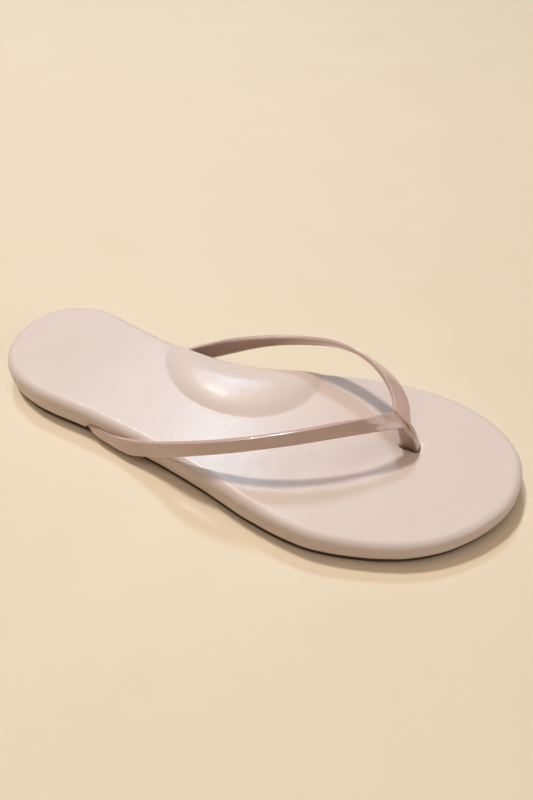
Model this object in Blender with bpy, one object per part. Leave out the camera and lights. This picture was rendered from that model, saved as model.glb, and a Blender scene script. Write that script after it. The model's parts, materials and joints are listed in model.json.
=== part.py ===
"""Flat thong sandal for the right foot: rubber outsole, wrapped footbed and a two-strap upper.

Metres, +Z up. The toe points to +X and the big toe's side to +Y. The origin is on the floor, under the
middle of the sole. Sizes below are in millimetres, and MM turns them into metres.
"""

from collections import namedtuple

import bmesh
import bpy
import numpy as np

MM = 0.001

# Sole plan
LENGTH = 253.4
HEEL_CAP = 46.0
HEEL_POWER = 2.2
TOE_CAP = 62.0
TOE_POWER = 2.15
SPINE_HEEL = -96.0
SPINE_TOE = 72.0

SoleSection = namedtuple("SoleSection", "at half_width centre")
SOLE_SECTIONS = (
    SoleSection(0.0, 34.5, 3.1),
    SoleSection(0.1, 33.0, 3.3),
    SoleSection(0.2, 30.6, 0.7),
    SoleSection(0.3, 29.3, -2.6),
    SoleSection(0.4, 29.5, -5.6),
    SoleSection(0.5, 33.2, -6.5),
    SoleSection(0.6, 40.7, -4.9),
    SoleSection(0.7, 45.8, -2.1),
    SoleSection(0.8, 45.9, 2.6),
    SoleSection(0.9, 44.7, 6.9),
    SoleSection(1.0, 41.5, 12.0),
)

# Sole height
TOE_SPRING = 1.6
SPRING_START = 0.72
SPRING_POWER = 1.5
GAP = 0.3
POCKET_GAP = 0.45
OUTSOLE_THICKNESS = 3.7
OUTSOLE_INSET = 0.9
OUTSOLE_ROUND = 0.6
BED_UNDERSIDE = OUTSOLE_THICKNESS + GAP
BED_TOP_ROUND = 4.2
BED_BOTTOM_ROUND = 1.0

BedSection = namedtuple("BedSection", "at thickness")
BED_SECTIONS = (
    BedSection(0.0, 12.8),
    BedSection(0.25, 12.8),
    BedSection(0.6, 12.25),
    BedSection(0.7, 11.1),
    BedSection(0.8, 9.65),
    BedSection(0.9, 9.05),
    BedSection(1.0, 9.4),
)

# Arch pad moulded into the top of the footbed, on the big toe's side
ARCH_X = -9.4
ARCH_Y = 27.9
ARCH_HALF_LENGTH = 39.5
ARCH_HALF_WIDTH = 35.1
ARCH_HEIGHT = 5.0
ARCH_HEEL_POWER = 5.6
ARCH_TOE_POWER = 5.0
ARCH_HEEL_FADE = 1.15
ARCH_TOE_FADE = 1.25
ARCH_TURN_START = -0.5
ARCH_TURN_END = 0.7
ARCH_RIM_SHARE = 0.45
ARCH_RIM_WIDTH = 14.0

# Straps: the middle of the band, its lean inwards from upright and the mitre of its section, in degrees.
# Below WRAP_HEIGHT the band turns under the footbed, so z there is measured along the band.
STRAP_THICKNESS = 1.9
WRAP_HEIGHT = 7.0
WRAP_RADIUS = 3.0
SECTION_POWER = 4.0

StrapSection = namedtuple("StrapSection", "x y z lean width mitre")
LATERAL_STRAP = (
    StrapSection(-76.7, -28.7, -7.0, 28.0, 8.5, 0.0),
    StrapSection(-67.7, -30.7, -0.5, 30.0, 8.5, 0.0),
    StrapSection(-60.7, -32.3, 4.4, 28.0, 8.5, 0.0),
    StrapSection(-48.7, -34.3, 6.4, 22.0, 8.5, 0.0),
    StrapSection(-28.7, -35.4, 13.7, 8.0, 8.5, 0.0),
    StrapSection(-8.3, -36.2, 25.8, 2.0, 8.2, 0.0),
    StrapSection(13.7, -31.1, 33.7, 2.0, 7.8, 0.0),
    StrapSection(33.6, -21.3, 36.7, 8.0, 7.4, 0.0),
    StrapSection(53.4, -7.4, 36.5, 23.0, 6.9, 0.0),
    StrapSection(65.3, 2.4, 34.7, 46.0, 6.8, -8.0),
    StrapSection(71.9, 9.0, 32.4, 66.0, 7.6, -33.5),
)
MEDIAL_STRAP = (
    StrapSection(-64.7, 23.5, -5.8, 0.0, 8.5, 0.0),
    StrapSection(-40.7, 30.2, 6.3, -2.0, 8.5, 0.0),
    StrapSection(-27.0, 30.2, 15.6, 0.0, 8.5, 0.0),
    StrapSection(-12.7, 30.7, 24.3, 5.0, 8.3, 0.0),
    StrapSection(1.7, 34.7, 28.6, 16.0, 8.0, 0.0),
    StrapSection(17.8, 37.5, 32.2, 26.0, 7.8, 0.0),
    StrapSection(34.7, 36.8, 36.4, 36.0, 7.5, 0.0),
    StrapSection(50.2, 32.0, 37.8, 45.0, 7.2, 0.0),
    StrapSection(62.3, 25.3, 35.5, 57.0, 7.8, 0.0),
    StrapSection(68.7, 17.8, 33.6, 63.0, 8.0, -7.0),
    StrapSection(72.1, 9.0, 32.3, 65.0, 8.0, -36.0),
)
LATERAL_SIDE = -1.0
MEDIAL_SIDE = 1.0

# Toe post: both strap ends folded down face to face
PostSection = namedtuple("PostSection", "x y z width thickness pitch")
TOE_POST = (
    PostSection(78.7, 11.6, 4.7, 8.0, 3.8, 0.0),
    PostSection(78.1, 11.7, 13.3, 8.0, 3.8, 0.0),
    PostSection(76.0, 10.4, 22.3, 7.2, 3.8, 8.0),
    PostSection(73.7, 9.2, 30.6, 6.6, 3.6, 20.0),
)
SLOT_OVERSHOOT = 4.0

# Mesh steps
EDGE_STEPS = 44
ROUND_STEPS = 4
BED_RINGS = 8
STRAP_STEPS = 48
POST_STEPS = 10
SECTION_STEPS = 14
DIFFERENCE = 0.01
WELD_DISTANCE = 0.001
SHARP_ANGLE = 40.0

Finish = namedtuple("Finish", "colour roughness")
OUTSOLE_FINISH = Finish((0.045, 0.024, 0.013), 0.7)
FOOTBED_FINISH = Finish((0.74, 0.57, 0.47), 0.42)
STRAP_FINISH = Finish((0.43, 0.28, 0.22), 0.18)


def column(rows, name):
    """One named column of a table, as an array."""
    return np.array([getattr(row, name) for row in rows])


def through(stations, values, at):
    """Smooth curve through table rows: cubic Hermite pieces with central slopes."""
    slopes = np.gradient(values, stations, axis=0)
    piece = np.clip(np.searchsorted(stations, at, side="right") - 1, 0, len(stations) - 2)
    width = stations[piece + 1] - stations[piece]
    step = (at - stations[piece]) / width
    start = (1 + 2 * step) * (1 - step) ** 2 * values[piece] + step * (1 - step) ** 2 * width * slopes[piece]
    end = step**2 * (3 - 2 * step) * values[piece + 1] + step**2 * (step - 1) * width * slopes[piece + 1]
    return start + end


def unit(vectors):
    """Vectors along the last axis, scaled to length one."""
    return vectors / np.linalg.norm(vectors, axis=-1, keepdims=True)


def smooth_step(low, high, value):
    """Soft step: 0 below low, 1 above high, and a cubic with level ends between them."""
    share = np.clip((value - low) / (high - low), 0, 1)
    return share**2 * (3 - 2 * share)


def along_sole(x):
    """Share of the length from heel to toe at a place on X."""
    return x / LENGTH + 0.5


def sole_column(name, x):
    """Half width or centre of the sole plan at places on X."""
    return through(column(SOLE_SECTIONS, "at"), column(SOLE_SECTIONS, name), along_sole(x))


def sole_edge():
    """Plan outline of the footbed, from the heel along the lateral side to the toe and back."""
    half_turn = np.linspace(0.0, np.pi, EDGE_STEPS + 1)
    x = -np.cos(half_turn) * LENGTH / 2
    heel = np.clip(1 - (x + LENGTH / 2) / HEEL_CAP, 0, 1)
    toe = np.clip(1 - (LENGTH / 2 - x) / TOE_CAP, 0, 1)
    cap = (1 - heel**HEEL_POWER) ** (1 / HEEL_POWER) * (1 - toe**TOE_POWER) ** (1 / TOE_POWER)
    reach = sole_column("half_width", x) * cap
    lateral = np.column_stack([x, sole_column("centre", x) - reach])
    medial = np.column_stack([x, sole_column("centre", x) + reach])
    return np.concatenate([lateral, medial[-2:0:-1]])


def inset(edge, depth):
    """Outline moved inwards by a depth, square to itself."""
    run = unit(np.roll(edge, -1, axis=0) - np.roll(edge, 1, axis=0))
    return edge + depth * np.column_stack([-run[:, 1], run[:, 0]])


def spine(edge):
    """Point on the sole's centre line that each outline point is drawn towards."""
    x = np.clip(edge[:, 0], SPINE_HEEL, SPINE_TOE)
    return np.column_stack([x, sole_column("centre", x)])


def toe_lift(x):
    """Rise of the sole off the floor: flat to the ball, then a power of the way to the toe."""
    past_ball = np.clip((along_sole(x) - SPRING_START) / (1 - SPRING_START), 0, 1)
    return TOE_SPRING * past_ball**SPRING_POWER


def arch_pad(plan):
    """Height of the arch pad: half an ellipse in plan, flat on top, low at the rim and softer to the toe."""
    forward = (plan[:, 0] - ARCH_X) / ARCH_HALF_LENGTH
    inward = np.minimum((plan[:, 1] - ARCH_Y) / ARCH_HALF_WIDTH, 0)
    to_toe = smooth_step(ARCH_TURN_START, ARCH_TURN_END, forward)
    power = ARCH_HEEL_POWER + (ARCH_TOE_POWER - ARCH_HEEL_POWER) * to_toe
    fade = ARCH_HEEL_FADE + (ARCH_TOE_FADE - ARCH_HEEL_FADE) * to_toe
    swell = np.clip(1 - np.hypot(forward, inward) ** power, 0, 1) ** fade
    rim = sole_column("centre", plan[:, 0]) + sole_column("half_width", plan[:, 0])
    share = ARCH_RIM_SHARE + (1 - ARCH_RIM_SHARE) * smooth_step(0.0, ARCH_RIM_WIDTH, rim - plan[:, 1])
    return ARCH_HEIGHT * swell * share


def bed_top(plan):
    """Height of the footbed's top over the floor."""
    at = along_sole(plan[:, 0])
    thickness = through(column(BED_SECTIONS, "at"), column(BED_SECTIONS, "thickness"), at)
    return BED_UNDERSIDE + toe_lift(plan[:, 0]) + thickness + arch_pad(plan)


def bed_underside(plan):
    """Height of the footbed's underside over the floor."""
    return BED_UNDERSIDE + toe_lift(plan[:, 0])


def outsole_top(plan):
    """Height of the outsole's upper face over the floor."""
    return OUTSOLE_THICKNESS + toe_lift(plan[:, 0])


def outsole_floor(plan):
    """Height of the outsole's tread face over the floor."""
    return toe_lift(plan[:, 0])


def drawn_in(edge, depth, height):
    """Rings from an inset outline to the spine, on a height function, outermost first."""
    rim = inset(edge, depth)
    middle = spine(edge)
    rings = []
    for share in np.linspace(0.0, 1.0, BED_RINGS + 1):
        plan = rim + share * (middle - rim)
        rings.append(np.column_stack([plan, height(plan)]))
    return rings


def rounded(edge, depth, radius, height, direction):
    """Rings over a rounded rim, from its flat face out to its upright wall."""
    rings = []
    for turn in np.linspace(0.0, np.pi / 2, ROUND_STEPS + 1)[1:]:
        plan = inset(edge, depth + radius * (1 - np.sin(turn)))
        drop = radius * (1 - np.cos(turn))
        rings.append(np.column_stack([plan, height(plan) - direction * drop]))
    return rings


def slab_rings(edge, depth, underside, bottom_round, top, top_round):
    """Rings of a sole slab, from the middle of its underside round its wall to the middle of its top."""
    below = drawn_in(edge, depth + bottom_round, underside)[::-1]
    below += rounded(edge, depth, bottom_round, underside, -1.0)
    above = drawn_in(edge, depth + top_round, top)[::-1]
    above += rounded(edge, depth, top_round, top, 1.0)
    return np.array(below + above[::-1])


def strap_middle(rows, side, along, across):
    """Middle surface of a strap: along its length in millimetres and across its width from -1 to 1."""
    points = np.column_stack([column(rows, axis) for axis in "xyz"])
    chords = np.linalg.norm(np.diff(points, axis=0), axis=1)
    stations = np.concatenate([[0.0], np.cumsum(chords)])

    def row_value(name):
        return through(stations, column(rows, name), along)

    def centre(at):
        return np.stack([through(stations, points[:, axis], at) for axis in range(3)], axis=-1)

    run = unit(centre(along + DIFFERENCE) - centre(along - DIFFERENCE))
    upright = unit(np.array([0.0, 0.0, 1.0]) - run * run[..., 2:])
    outward = -side * np.cross(run, upright)
    lean = np.radians(row_value("lean"))[..., None]
    mitre = np.radians(row_value("mitre"))[..., None]
    square = np.cos(lean) * upright - np.sin(lean) * outward
    reach = across[..., None] * row_value("width")[..., None] / 2
    flat = centre(along) + reach * (square + np.tan(mitre) * run)
    return wrapped(flat, unit(outward * np.array([1.0, 1.0, 0.0])))


def wrapped(flat, outward):
    """Turns what lies below the wrap height round a bend and in under the footbed."""
    depth = np.clip(WRAP_HEIGHT - flat[..., 2], 0, None)
    turn = np.minimum(depth / WRAP_RADIUS, np.pi / 2)
    inward = WRAP_RADIUS * (1 - np.cos(turn)) + np.clip(depth - WRAP_RADIUS * np.pi / 2, 0, None)
    bent = flat - inward[..., None] * outward
    bent[..., 2] += depth - WRAP_RADIUS * np.sin(turn)
    return bent


def strap_length(rows):
    """Length of a strap along the chords of its table."""
    points = np.column_stack([column(rows, axis) for axis in "xyz"])
    return np.linalg.norm(np.diff(points, axis=0), axis=1).sum()


def section_turn():
    """Across and through positions of a rounded band section, from -1 to 1, anticlockwise."""
    turn = np.linspace(0.0, 2 * np.pi, SECTION_STEPS, endpoint=False)
    across = np.sign(np.cos(turn)) * np.abs(np.cos(turn)) ** (2 / SECTION_POWER)
    through_wall = np.sign(np.sin(turn)) * np.abs(np.sin(turn)) ** (2 / SECTION_POWER)
    return across, through_wall


def strap_rings(rows, side, grow):
    """Rings of a strap: its middle surface thickened along its normal, all sides grown by a clearance."""
    steps = np.linspace(0.0, strap_length(rows), STRAP_STEPS + 1)
    if grow:
        steps = np.concatenate([[-grow], steps, [steps[-1] + grow]])
    across, through_wall = section_turn()
    width = column(rows, "width").min()
    along, over = np.meshgrid(steps, across * (1 + 2 * grow / width), indexing="ij")

    def middle(at, reach):
        return strap_middle(rows, side, at, reach)

    run = middle(along + DIFFERENCE, over) - middle(along - DIFFERENCE, over)
    rise = middle(along, over + DIFFERENCE) - middle(along, over - DIFFERENCE)
    normal = -side * unit(np.cross(run, rise))
    half = STRAP_THICKNESS / 2 + grow
    return middle(along, over) + half * through_wall[None, :, None] * normal


def post_rings(grow, overshoot):
    """Rings of the toe post: a rounded section carried up its table, grown all round, longer below."""
    heights = column(TOE_POST, "z")
    z = np.linspace(heights[0] - overshoot, heights[-1], POST_STEPS + 1)[:, None]

    def row_value(name):
        return through(heights, column(TOE_POST, name), np.maximum(z, heights[0]))

    across, through_wall = section_turn()
    pitch = np.radians(row_value("pitch"))
    forward = across * (row_value("width") / 2 + grow)
    sideways = through_wall * (row_value("thickness") / 2 + grow)
    x = row_value("x") + forward * np.cos(pitch)
    return np.stack([x, row_value("y") + sideways, z - forward * np.sin(pitch)], axis=-1)


def mesh_object(name, rings, finish):
    """Closed object from rings of equal length, its first and last ring closed by a face or a seam."""
    around = rings.shape[1]
    mesh = bmesh.new()
    rows = [[mesh.verts.new(point * MM) for point in ring] for ring in rings]
    for lower, upper in zip(rows, rows[1:]):
        for k in range(around):
            after = (k + 1) % around
            mesh.faces.new((lower[k], lower[after], upper[after], upper[k]))
    for ring in (rows[0], rows[-1]):
        mesh.faces.new(ring)
    bmesh.ops.remove_doubles(mesh, verts=mesh.verts, dist=WELD_DISTANCE * MM)
    bmesh.ops.recalc_face_normals(mesh, faces=mesh.faces)
    data = bpy.data.meshes.new(name)
    mesh.to_mesh(data)
    mesh.free()
    data.shade_smooth()
    data.set_sharp_from_angle(angle=np.radians(SHARP_ANGLE))
    piece = bpy.data.objects.new(name, data)
    bpy.context.collection.objects.link(piece)
    if finish:
        data.materials.append(material(name + "_finish", finish))
    return piece


def material(name, finish):
    """Principled material of one colour."""
    made = bpy.data.materials.new(name)
    made.use_nodes = True
    shader = made.node_tree.nodes["Principled BSDF"]
    shader.inputs["Base Color"].default_value = (*finish.colour, 1.0)
    shader.inputs["Roughness"].default_value = finish.roughness
    shader.inputs["Metallic"].default_value = 0.0
    return made


def helper(name, rings):
    """Object that only cuts or joins, kept out of the model."""
    piece = mesh_object(name, rings, None)
    piece.hide_render = True
    piece.display_type = "WIRE"
    return piece


def combine(piece, other, operation):
    """Cuts another object from a piece, or joins it on."""
    modifier = piece.modifiers.new(other.name, "BOOLEAN")
    modifier.operation = operation
    modifier.solver = "EXACT"
    modifier.object = other


def build():
    """The three pieces and the helpers that shape them."""
    for old in list(bpy.data.objects):
        bpy.data.objects.remove(old, do_unlink=True)
    edge = sole_edge()
    outsole = mesh_object(
        "outsole",
        slab_rings(edge, OUTSOLE_INSET, outsole_floor, OUTSOLE_ROUND, outsole_top, OUTSOLE_ROUND),
        OUTSOLE_FINISH,
    )
    footbed = mesh_object(
        "footbed",
        slab_rings(edge, 0.0, bed_underside, BED_BOTTOM_ROUND, bed_top, BED_TOP_ROUND),
        FOOTBED_FINISH,
    )
    upper = mesh_object("strap_upper", strap_rings(LATERAL_STRAP, LATERAL_SIDE, 0.0), STRAP_FINISH)
    combine(upper, helper("medial_strap", strap_rings(MEDIAL_STRAP, MEDIAL_SIDE, 0.0)), "UNION")
    combine(upper, helper("toe_post", post_rings(0.0, 0.0)), "UNION")
    pockets = (
        helper("lateral_pocket", strap_rings(LATERAL_STRAP, LATERAL_SIDE, POCKET_GAP)),
        helper("medial_pocket", strap_rings(MEDIAL_STRAP, MEDIAL_SIDE, POCKET_GAP)),
    )
    for pocket in pockets:
        combine(outsole, pocket, "DIFFERENCE")
        combine(footbed, pocket, "DIFFERENCE")
    combine(footbed, helper("toe_slot", post_rings(GAP, SLOT_OVERSHOOT)), "DIFFERENCE")


if __name__ == "__main__":
    build()
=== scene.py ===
"""Looks of a flat thong sandal for the right foot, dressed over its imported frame.

The frame is in metres: +X to the toe, +Y to the big toe's side, +Z up from the floor. Sizes in this file are
in millimetres until a mesh is made. Each shape is a function of two parameters, worked out on numpy grids.
"""

from __future__ import annotations

import json
import logging
from dataclasses import dataclass
from enum import Enum
from typing import Callable, Sequence

import bmesh
import bpy
import numpy as np
from mathutils import Matrix, Vector

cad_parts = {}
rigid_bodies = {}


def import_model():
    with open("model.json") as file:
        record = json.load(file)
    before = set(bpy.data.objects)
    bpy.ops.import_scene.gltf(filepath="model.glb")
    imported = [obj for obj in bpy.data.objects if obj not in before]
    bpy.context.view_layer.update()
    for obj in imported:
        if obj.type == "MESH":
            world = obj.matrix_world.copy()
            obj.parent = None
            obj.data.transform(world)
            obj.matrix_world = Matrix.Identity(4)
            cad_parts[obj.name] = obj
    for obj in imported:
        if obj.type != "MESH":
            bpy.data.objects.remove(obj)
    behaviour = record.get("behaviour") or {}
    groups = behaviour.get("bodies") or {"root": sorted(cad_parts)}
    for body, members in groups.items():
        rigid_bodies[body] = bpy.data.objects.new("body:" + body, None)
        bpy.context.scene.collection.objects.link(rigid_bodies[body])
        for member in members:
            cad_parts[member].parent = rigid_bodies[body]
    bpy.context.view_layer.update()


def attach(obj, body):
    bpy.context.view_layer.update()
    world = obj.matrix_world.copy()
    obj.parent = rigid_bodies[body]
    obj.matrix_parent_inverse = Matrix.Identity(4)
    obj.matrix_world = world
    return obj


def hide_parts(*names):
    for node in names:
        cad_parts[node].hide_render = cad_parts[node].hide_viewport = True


MM = 0.001
WELD_DISTANCE = 0.002
SHARP_DEGREES = 50.0
FINE_STEPS = 20
log = logging.getLogger("sandal")

Array = np.ndarray
Colour = tuple[float, float, float, float]
Height = Callable[[Array], Array]
Inputs = dict[str | int, object]


class Side(Enum):
    """The two long sides of the sandal, with the sign of Y on each."""

    LATERAL = -1.0
    MEDIAL = 1.0


class Socket(Enum):
    """Kinds of socket that a shared node group shows."""

    PLACE = "NodeSocketVector"
    VALUE = "NodeSocketFloat"
    COLOUR = "NodeSocketColor"


def column(rows: Sequence, name: str) -> Array:
    """One named column of a table, as an array.

    Args:
        rows: Rows of a table.
        name: Field to take from each row.

    Returns:
        The field's values, one for each row.
    """
    return np.array([getattr(row, name) for row in rows], float)


def through(stations: Array, values: Array, at: Array) -> Array:
    """Smooth curve through table rows: cubic Hermite pieces whose slopes are central differences.

    Args:
        stations: Rising positions of the rows.
        values: Value of each row, a number or a vector.
        at: Positions to read the curve at.

    Returns:
        Values of the curve, with the shape of at and any vector axis last.
    """
    slopes = np.gradient(values, stations, axis=0)
    piece = np.clip(np.searchsorted(stations, at, side="right") - 1, 0, len(stations) - 2)
    width = stations[piece + 1] - stations[piece]
    step = (at - stations[piece]) / width
    if values.ndim > 1:
        width, step = width[..., None], step[..., None]
    start = (1 + 2 * step) * (1 - step) ** 2 * values[piece] + step * (1 - step) ** 2 * width * slopes[piece]
    end = step**2 * (3 - 2 * step) * values[piece + 1] + step**2 * (step - 1) * width * slopes[piece + 1]
    return start + end


def read(rows: Sequence, name: str, share: Array) -> Array:
    """Smooth curve through one column of a table whose rows are placed by share of the length."""
    return through(column(rows, "at"), column(rows, name), share)


def chords(points: Array) -> Array:
    """Distance of each point from the first, along the straight lines that join them."""
    return np.concatenate([[0.0], np.cumsum(np.linalg.norm(np.diff(points, axis=0), axis=1))])


def unit(vectors: Array) -> Array:
    """Vectors along the last axis, scaled to length one."""
    return vectors / np.linalg.norm(vectors, axis=-1, keepdims=True)


def smooth_step(low: float, high: float, value: Array) -> Array:
    """Soft step: 0 below low, 1 above high, and a cubic with level ends between them."""
    share = np.clip((value - low) / (high - low), 0, 1)
    return share**2 * (3 - 2 * share)


def ripple(at: Array, pitch: float, waves: int) -> Array:
    """Uneven wave: the mean of sines whose pitch shrinks and whose phase turns by the golden angle.

    Args:
        at: Positions along the wave.
        pitch: Longest wavelength.
        waves: Number of sines.

    Returns:
        Values between -1 and 1.
    """
    golden, shrink = np.pi * (3 - np.sqrt(5)), 0.7
    turns = np.arange(1, waves + 1)
    phases = 2 * np.pi * np.asarray(at)[..., None] * turns**shrink / pitch + golden * turns**2
    return np.sin(phases).mean(axis=-1)


def crowded(values: Array, places: Array, steps: int, focus: float, spread: float, gain: float) -> Array:
    """Thins a fine row of values to a few, close together near a focus.

    The steps are even in a travelled distance, whose pace is one and a bell curve round the focus.

    Args:
        values: Fine, rising row of values.
        places: Place of each value.
        steps: Number of steps to keep.
        focus: Place to crowd at.
        spread: Half length of the crowd.
        gain: How much closer the steps are at the focus.

    Returns:
        The values kept, one more than the steps.
    """
    pace = 1 + gain * np.exp(-(((places - focus) / spread) ** 2))
    travelled = np.concatenate([[0.0], np.cumsum((pace[1:] + pace[:-1]) / 2)])
    return np.interp(np.linspace(0.0, travelled[-1], steps + 1), travelled, values)


def tone(red: int, green: int, blue: int) -> Colour:
    """Linear colour of a screen colour: the sRGB curve undone, with full cover.

    Args:
        red: Red from 0 to 255.
        green: Green from 0 to 255.
        blue: Blue from 0 to 255.

    Returns:
        Linear red, green, blue and alpha.
    """
    screen = np.array([red, green, blue]) / 255
    linear = np.where(screen <= 0.04045, screen / 12.92, ((screen + 0.055) / 1.055) ** 2.4)
    return (*map(float, linear), 1.0)


def grid_quads(rows: int, columns: int, first: int, closed: bool) -> Array:
    """Quads of a grid of points stored row by row.

    Args:
        rows: Number of rows of points.
        columns: Number of points in a row.
        first: Index of the grid's first point.
        closed: Whether the last point of a row joins its first.

    Returns:
        Four point indices for each quad.
    """
    row = np.arange(rows - 1)[:, None] * columns
    here = np.arange(columns if closed else columns - 1)[None, :]
    after = (here + 1) % columns
    corners = (row + here, row + after, row + columns + after, row + columns + here)
    return first + np.stack(corners, axis=-1).reshape(-1, 4)


def make_piece(name: str, grids: Sequence[tuple[Array, bool]], masks: dict[str, Array]) -> bpy.types.Object:
    """Closed, smooth object from grids of points whose borders meet.

    The grids are put into one mesh with foreach_set, points that coincide are welded, which closes seams and
    poles, and the faces are turned outwards.

    Args:
        name: Name of the piece.
        grids: Grids of points in millimetres, each with whether its rows close on themselves.
        masks: Values for each point by name, kept as point attributes.

    Returns:
        The new object, at the origin.
    """
    points = np.concatenate([grid.reshape(-1, 3) for grid, _ in grids]) * MM
    firsts = np.cumsum([0] + [grid.shape[0] * grid.shape[1] for grid, _ in grids])
    quads = np.concatenate(
        [grid_quads(*grid.shape[:2], int(first), closed) for (grid, closed), first in zip(grids, firsts)]
    )
    mesh = bpy.data.meshes.new(name)
    mesh.vertices.add(len(points))
    mesh.vertices.foreach_set("co", points.ravel())
    mesh.loops.add(quads.size)
    mesh.loops.foreach_set("vertex_index", quads.ravel().astype(np.int32))
    mesh.polygons.add(len(quads))
    mesh.polygons.foreach_set("loop_start", np.arange(0, quads.size, 4, dtype=np.int32))
    mesh.update(calc_edges=True)
    for label, values in masks.items():
        mesh.attributes.new(label, "FLOAT", "POINT").data.foreach_set("value", values.ravel().astype(np.float32))
    weld = bmesh.new()
    weld.from_mesh(mesh)
    bmesh.ops.remove_doubles(weld, verts=weld.verts, dist=WELD_DISTANCE * MM)
    bmesh.ops.recalc_face_normals(weld, faces=weld.faces)
    weld.to_mesh(mesh)
    weld.free()
    mesh.shade_smooth()
    mesh.set_sharp_from_angle(angle=np.radians(SHARP_DEGREES))
    piece = bpy.data.objects.new(name, mesh)
    bpy.context.scene.collection.objects.link(piece)
    return piece


@dataclass(frozen=True)
class SoleRow:
    """A section of the sole's plan: share of the length, half width and centre line."""

    at: float
    half_width: float
    centre: float


@dataclass(frozen=True)
class SolePlan:
    """Plan outline, toe spring and spacing of the grid lines of the sole."""

    length: float = 253.4
    heel_cap: float = 46.0
    heel_power: float = 2.2
    toe_cap: float = 62.0
    toe_power: float = 2.15
    toe_spring: float = 1.6
    spring_start: float = 0.72
    spring_power: float = 1.5
    rows: tuple[SoleRow, ...] = (
        SoleRow(0.0, 34.5, 3.1),
        SoleRow(0.1, 33.0, 3.3),
        SoleRow(0.2, 30.6, 0.7),
        SoleRow(0.3, 29.3, -2.6),
        SoleRow(0.4, 29.5, -5.6),
        SoleRow(0.5, 33.2, -6.5),
        SoleRow(0.6, 40.7, -4.9),
        SoleRow(0.7, 45.8, -2.1),
        SoleRow(0.8, 45.9, 2.6),
        SoleRow(0.9, 44.7, 6.9),
        SoleRow(1.0, 41.5, 12.0),
    )

    def share(self, x: Array) -> Array:
        """Share of the length from heel to toe at places on X."""
        return x / self.length + 0.5

    def centre(self, x: Array) -> Array:
        """Y of the centre line at places on X."""
        return read(self.rows, "centre", self.share(x))

    def half_width(self, x: Array) -> Array:
        """Half width before the ends are rounded off, at places on X."""
        return read(self.rows, "half_width", self.share(x))

    def reach(self, x: Array) -> Array:
        """Half width with superellipse ends: the width times what is left of a rounded heel and toe.

        Args:
            x: Places on X.

        Returns:
            Distance from the centre line to either side.
        """
        heel = np.clip(1 - (x + self.length / 2) / self.heel_cap, 0, 1)
        toe = np.clip(1 - (self.length / 2 - x) / self.toe_cap, 0, 1)
        heel_end = (1 - heel**self.heel_power) ** (1 / self.heel_power)
        toe_end = (1 - toe**self.toe_power) ** (1 / self.toe_power)
        return self.half_width(x) * heel_end * toe_end

    def toe_lift(self, x: Array) -> Array:
        """Rise off the floor: flat to the ball, then a power of the way to the toe."""
        past_ball = np.clip((self.share(x) - self.spring_start) / (1 - self.spring_start), 0, 1)
        return self.toe_spring * past_ball**self.spring_power

    def stations(self, steps: int, focus: float = 0.0, spread: float = 1.0, gain: float = 0.0) -> Array:
        """Places on X from heel to toe: half a turn of a cosine, close at the two ends and near a focus.

        Args:
            steps: Number of steps from heel to toe.
            focus: X of the place to crowd at.
            spread: Half length of the crowd.
            gain: How much closer the steps are at the focus.

        Returns:
            The places on X, one more than the steps.
        """
        turn = np.linspace(0.0, np.pi, FINE_STEPS * steps + 1)
        x = -np.cos(turn) * self.length / 2
        return -np.cos(crowded(turn, x, steps, focus, spread, gain)) * self.length / 2

    def edge(self, x: Array) -> Array:
        """Outline ring: from the heel along the lateral side to the toe and back along the medial side.

        Args:
            x: Places on X from heel to toe.

        Returns:
            Plan points of the ring.
        """
        lateral = np.column_stack([x, self.centre(x) - self.reach(x)])
        medial = np.column_stack([x, self.centre(x) + self.reach(x)])
        return np.concatenate([lateral, medial[-2:0:-1]])

    @staticmethod
    def inset(edge: Array, depth: Array | float) -> Array:
        """Outline moved inwards by a depth, square to itself.

        Args:
            edge: Plan points of a ring.
            depth: One depth, or a depth for each point.

        Returns:
            The moved ring.
        """
        run = unit(np.roll(edge, -1, axis=0) - np.roll(edge, 1, axis=0))
        return edge + np.broadcast_to(depth, len(edge))[:, None] * np.column_stack([-run[:, 1], run[:, 0]])

    def from_rim(self, plan: Array) -> Array:
        """Distance in from the nearer side, measured across the sole."""
        offset = np.abs(plan[..., 1] - self.centre(plan[..., 0]))
        return self.reach(np.clip(plan[..., 0], -self.length / 2, self.length / 2)) - offset


def sides(ring: Array) -> tuple[Array, Array]:
    """Lateral and medial half of a ring, both from heel to toe."""
    half = len(ring) // 2
    return ring[: half + 1], ring[(2 * half - np.arange(half + 1)) % (2 * half)]


def ruled(ring: Array, height: Height, shares: Array) -> Array:
    """Face ruled across a ring from its lateral to its medial side, on a height function.

    Args:
        ring: Ring of points that borders the face.
        height: Height over the floor at plan points.
        shares: Shares of the way across, from 0 to 1.

    Returns:
        Grid of points, a row for each pair of facing ring points.
    """
    lateral, medial = (side[:, :2] for side in sides(ring))
    plan = lateral[:, None] + shares[None, :, None] * (medial - lateral)[:, None]
    return np.concatenate([plan, height(plan)[..., None]], axis=-1)


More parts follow.
